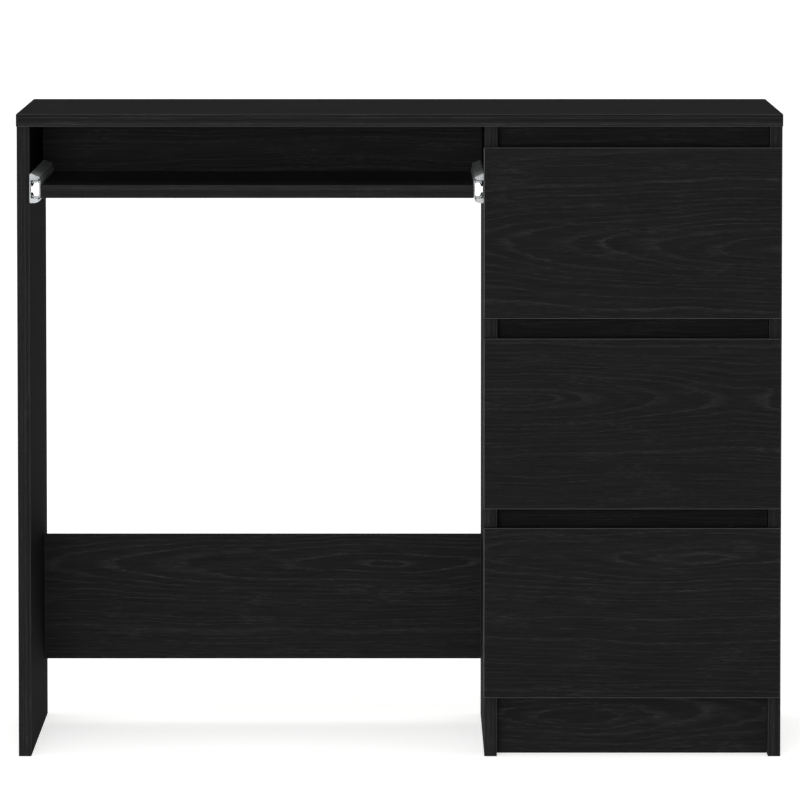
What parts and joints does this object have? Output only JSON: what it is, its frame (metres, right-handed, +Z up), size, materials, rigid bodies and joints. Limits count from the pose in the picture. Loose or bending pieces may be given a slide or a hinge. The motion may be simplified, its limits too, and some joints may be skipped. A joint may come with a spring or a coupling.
{
  "type": "computer desk with keyboard tray",
  "caption": "Black oak desk with a knee space, a keyboard tray on ball-bearing slides and a drawer unit whose plain fronts are pulled by the gaps above them.",
  "frame": {"origin": "on the floor, under the middle of the desktop", "axes": "+X to the right for someone who sits at the desk, along its width; +Y to the back; +Z up"},
  "size_m": [0.9, 0.45, 0.76],
  "materials": {
    "black_oak_board": "particle board with a black oak melamine foil, fine embossed pores, satin",
    "drawer_box_board": "particle board with a plain dark grey foil, matt",
    "hardboard": "thin hardboard, painted dark on the inside, bare brown on the outside",
    "zinc_steel": "rolled steel strip, bright zinc plated",
    "white_plastic": "moulded acetal, slightly glossy"
  },
  "bodies": {
    "carcass": {"desktop": "black_oak_board", "left_side_panel": "black_oak_board", "divider_panel": "black_oak_board", "right_side_panel": "black_oak_board", "upper_knee_panel": "black_oak_board", "lower_knee_panel": "black_oak_board", "top_rail": "black_oak_board", "middle_gap_rail": "black_oak_board", "bottom_gap_rail": "black_oak_board", "plinth": "black_oak_board", "drawer_unit_back": "hardboard", "tray_left_slide_fixed_member": "zinc_steel", "tray_right_slide_fixed_member": "zinc_steel", "top_drawer_left_slide_fixed_member": "zinc_steel", "top_drawer_right_slide_fixed_member": "zinc_steel", "middle_drawer_left_slide_fixed_member": "zinc_steel", "middle_drawer_right_slide_fixed_member": "zinc_steel", "bottom_drawer_left_slide_fixed_member": "zinc_steel", "bottom_drawer_right_slide_fixed_member": "zinc_steel"},
    "tray": {"keyboard_tray": "black_oak_board", "tray_left_slide_moving_member": "zinc_steel", "tray_left_slide_end_stop": "white_plastic", "tray_right_slide_moving_member": "zinc_steel", "tray_right_slide_end_stop": "white_plastic"},
    "tray_ball_cages": {"tray_left_slide_ball_cage": "zinc_steel", "tray_right_slide_ball_cage": "zinc_steel"},
    "top_drawer": {"top_drawer_front": "black_oak_board", "top_drawer_left_side": "drawer_box_board", "top_drawer_right_side": "drawer_box_board", "top_drawer_back": "drawer_box_board", "top_drawer_bottom": "hardboard", "top_drawer_left_slide_moving_member": "zinc_steel", "top_drawer_left_slide_end_stop": "white_plastic", "top_drawer_right_slide_moving_member": "zinc_steel", "top_drawer_right_slide_end_stop": "white_plastic"},
    "top_drawer_ball_cages": {"top_drawer_left_slide_ball_cage": "zinc_steel", "top_drawer_right_slide_ball_cage": "zinc_steel"},
    "middle_drawer": {"middle_drawer_front": "black_oak_board", "middle_drawer_left_side": "drawer_box_board", "middle_drawer_right_side": "drawer_box_board", "middle_drawer_back": "drawer_box_board", "middle_drawer_bottom": "hardboard", "middle_drawer_left_slide_moving_member": "zinc_steel", "middle_drawer_left_slide_end_stop": "white_plastic", "middle_drawer_right_slide_moving_member": "zinc_steel", "middle_drawer_right_slide_end_stop": "white_plastic"},
    "middle_drawer_ball_cages": {"middle_drawer_left_slide_ball_cage": "zinc_steel", "middle_drawer_right_slide_ball_cage": "zinc_steel"},
    "bottom_drawer": {"bottom_drawer_front": "black_oak_board", "bottom_drawer_left_side": "drawer_box_board", "bottom_drawer_right_side": "drawer_box_board", "bottom_drawer_back": "drawer_box_board", "bottom_drawer_bottom": "hardboard", "bottom_drawer_left_slide_moving_member": "zinc_steel", "bottom_drawer_left_slide_end_stop": "white_plastic", "bottom_drawer_right_slide_moving_member": "zinc_steel", "bottom_drawer_right_slide_end_stop": "white_plastic"},
    "bottom_drawer_ball_cages": {"bottom_drawer_left_slide_ball_cage": "zinc_steel", "bottom_drawer_right_slide_ball_cage": "zinc_steel"}
  },
  "joints": [
    {"name": "tray_slide", "type": "slide", "parent": "carcass", "child": "tray", "axis": [0, -1, 0], "range_m": [0, 0.25]},
    {"name": "tray_cage_roll", "type": "slide", "parent": "carcass", "child": "tray_ball_cages", "axis": [0, -1, 0], "range_m": [0, 0.125]},
    {"name": "top_drawer_slide", "type": "slide", "parent": "carcass", "child": "top_drawer", "axis": [0, -1, 0], "range_m": [0, 0.29]},
    {"name": "top_drawer_cage_roll", "type": "slide", "parent": "carcass", "child": "top_drawer_ball_cages", "axis": [0, -1, 0], "range_m": [0, 0.145]},
    {"name": "middle_drawer_slide", "type": "slide", "parent": "carcass", "child": "middle_drawer", "axis": [0, -1, 0], "range_m": [0, 0.29]},
    {"name": "middle_drawer_cage_roll", "type": "slide", "parent": "carcass", "child": "middle_drawer_ball_cages", "axis": [0, -1, 0], "range_m": [0, 0.145]},
    {"name": "bottom_drawer_slide", "type": "slide", "parent": "carcass", "child": "bottom_drawer", "axis": [0, -1, 0], "range_m": [0, 0.29]},
    {"name": "bottom_drawer_cage_roll", "type": "slide", "parent": "carcass", "child": "bottom_drawer_ball_cages", "axis": [0, -1, 0], "range_m": [0, 0.145]}
  ],
  "couplings": [
    {"joint": "tray_cage_roll", "follows": "tray_slide", "ratio": 0.5},
    {"joint": "top_drawer_cage_roll", "follows": "top_drawer_slide", "ratio": 0.5},
    {"joint": "middle_drawer_cage_roll", "follows": "middle_drawer_slide", "ratio": 0.5},
    {"joint": "bottom_drawer_cage_roll", "follows": "bottom_drawer_slide", "ratio": 0.5}
  ]
}
